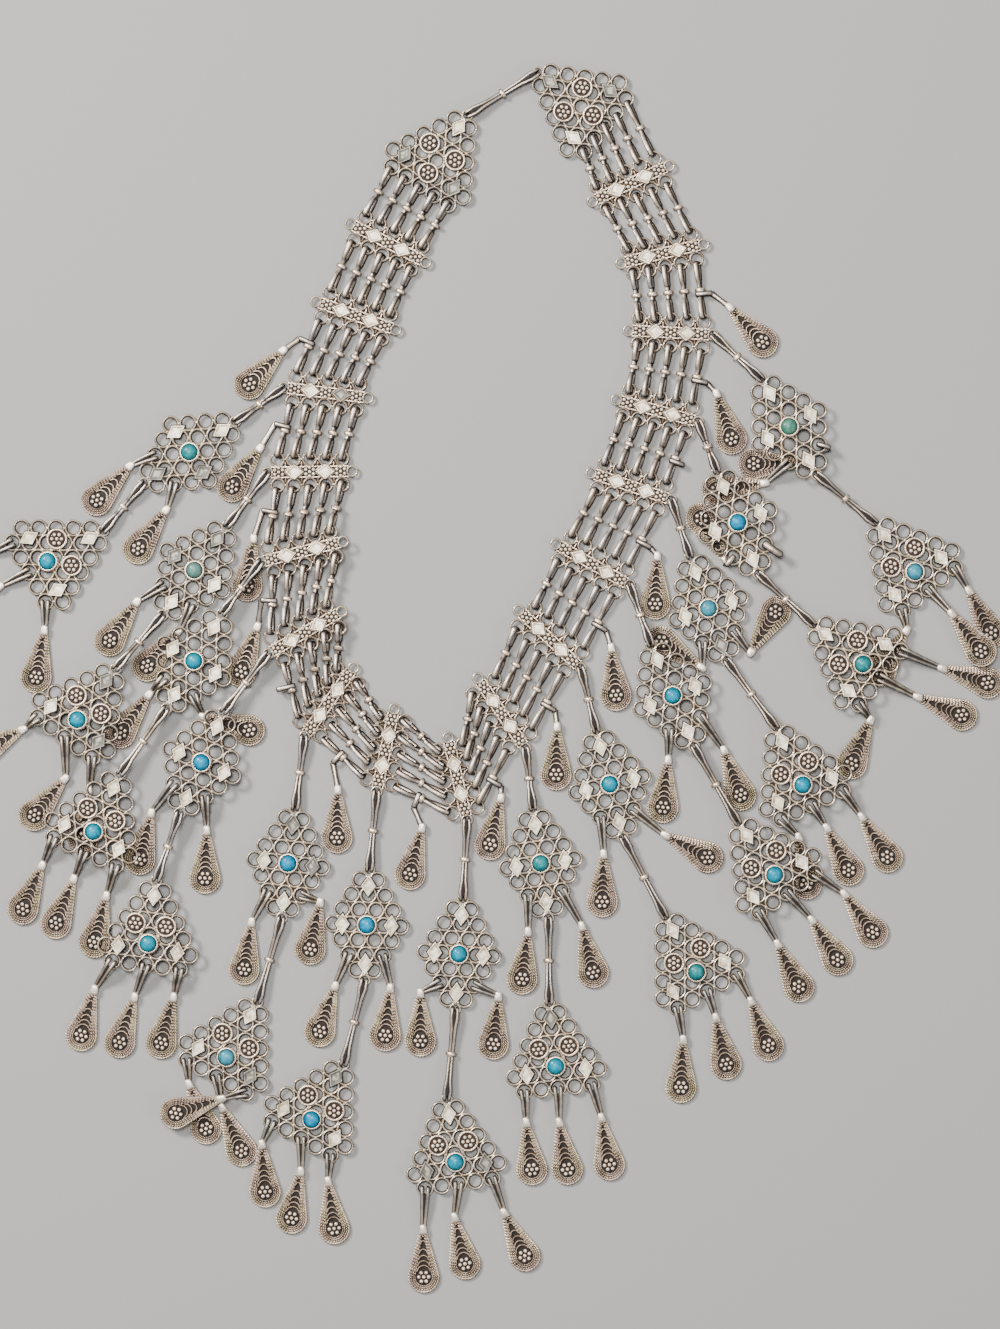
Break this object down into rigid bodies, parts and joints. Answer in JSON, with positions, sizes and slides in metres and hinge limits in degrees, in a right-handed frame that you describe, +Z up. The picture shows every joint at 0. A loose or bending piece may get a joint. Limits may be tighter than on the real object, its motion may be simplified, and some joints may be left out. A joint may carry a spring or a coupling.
{
  "type": "filigree collar necklace",
  "caption": "Silver filigree collar necklace of pierced bars and pendant plaques with turquoises and drops, laid flat with its clasp closed.",
  "frame": {"origin": "Middle of the necklace's bounding box, on the surface it lies on.", "axes": "+Z up from the surface, +Y towards the clasp, +X to the right seen from above."},
  "size_m": [0.3446, 0.393, 0.0063],
  "materials": {
    "lattice_silver": "warm hand-worked silver wire, dark in the recesses",
    "link_silver": "greyer silver wire, polished on its top",
    "drop_silver": "beige, lightly tarnished silver filigree",
    "turquoise": "smooth polished stone"
  },
  "bodies": {
    "root": {"clasp_link": "link_silver", "end_plaque_left": "lattice_silver", "end_plaque_right": "lattice_silver", "bar_left_1": "lattice_silver", "bar_left_2": "lattice_silver", "bar_left_3": "lattice_silver", "bar_left_4": "lattice_silver", "bar_left_5": "lattice_silver", "bar_left_6": "lattice_silver", "bar_left_7": "lattice_silver", "bar_left_8": "lattice_silver", "bar_middle": "lattice_silver", "bar_right_8": "lattice_silver", "bar_right_7": "lattice_silver", "bar_right_6": "lattice_silver", "bar_right_5": "lattice_silver", "bar_right_4": "lattice_silver", "bar_right_3": "lattice_silver", "bar_right_2": "lattice_silver", "bar_right_1": "lattice_silver", "band_links_left": "link_silver", "band_links_right": "link_silver", "side_loops": "link_silver", "pendant_links": "link_silver", "diamond_plaque_1": "lattice_silver", "diamond_plaque_2": "lattice_silver", "diamond_plaque_3": "lattice_silver", "diamond_plaque_4": "lattice_silver", "diamond_plaque_5": "lattice_silver", "diamond_plaque_6": "lattice_silver", "diamond_plaque_7": "lattice_silver", "diamond_plaque_8": "lattice_silver", "diamond_plaque_9": "lattice_silver", "diamond_plaque_10": "lattice_silver", "diamond_plaque_11": "lattice_silver", "diamond_plaque_12": "lattice_silver", "diamond_plaque_13": "lattice_silver", "triangle_plaque_1": "lattice_silver", "triangle_plaque_2": "lattice_silver", "triangle_plaque_3": "lattice_silver", "triangle_plaque_4": "lattice_silver", "triangle_plaque_5": "lattice_silver", "triangle_plaque_6": "lattice_silver", "triangle_plaque_7": "lattice_silver", "triangle_plaque_8": "lattice_silver", "triangle_plaque_9": "lattice_silver", "triangle_plaque_10": "lattice_silver", "triangle_plaque_11": "lattice_silver", "triangle_plaque_12": "lattice_silver", "triangle_plaque_13": "lattice_silver", "turquoises": "turquoise", "band_drops": "drop_silver", "diamond_drops_left": "drop_silver", "diamond_drops_right": "drop_silver", "triangle_drops_left": "drop_silver", "triangle_drops_right": "drop_silver"}
  },
  "joints": []
}
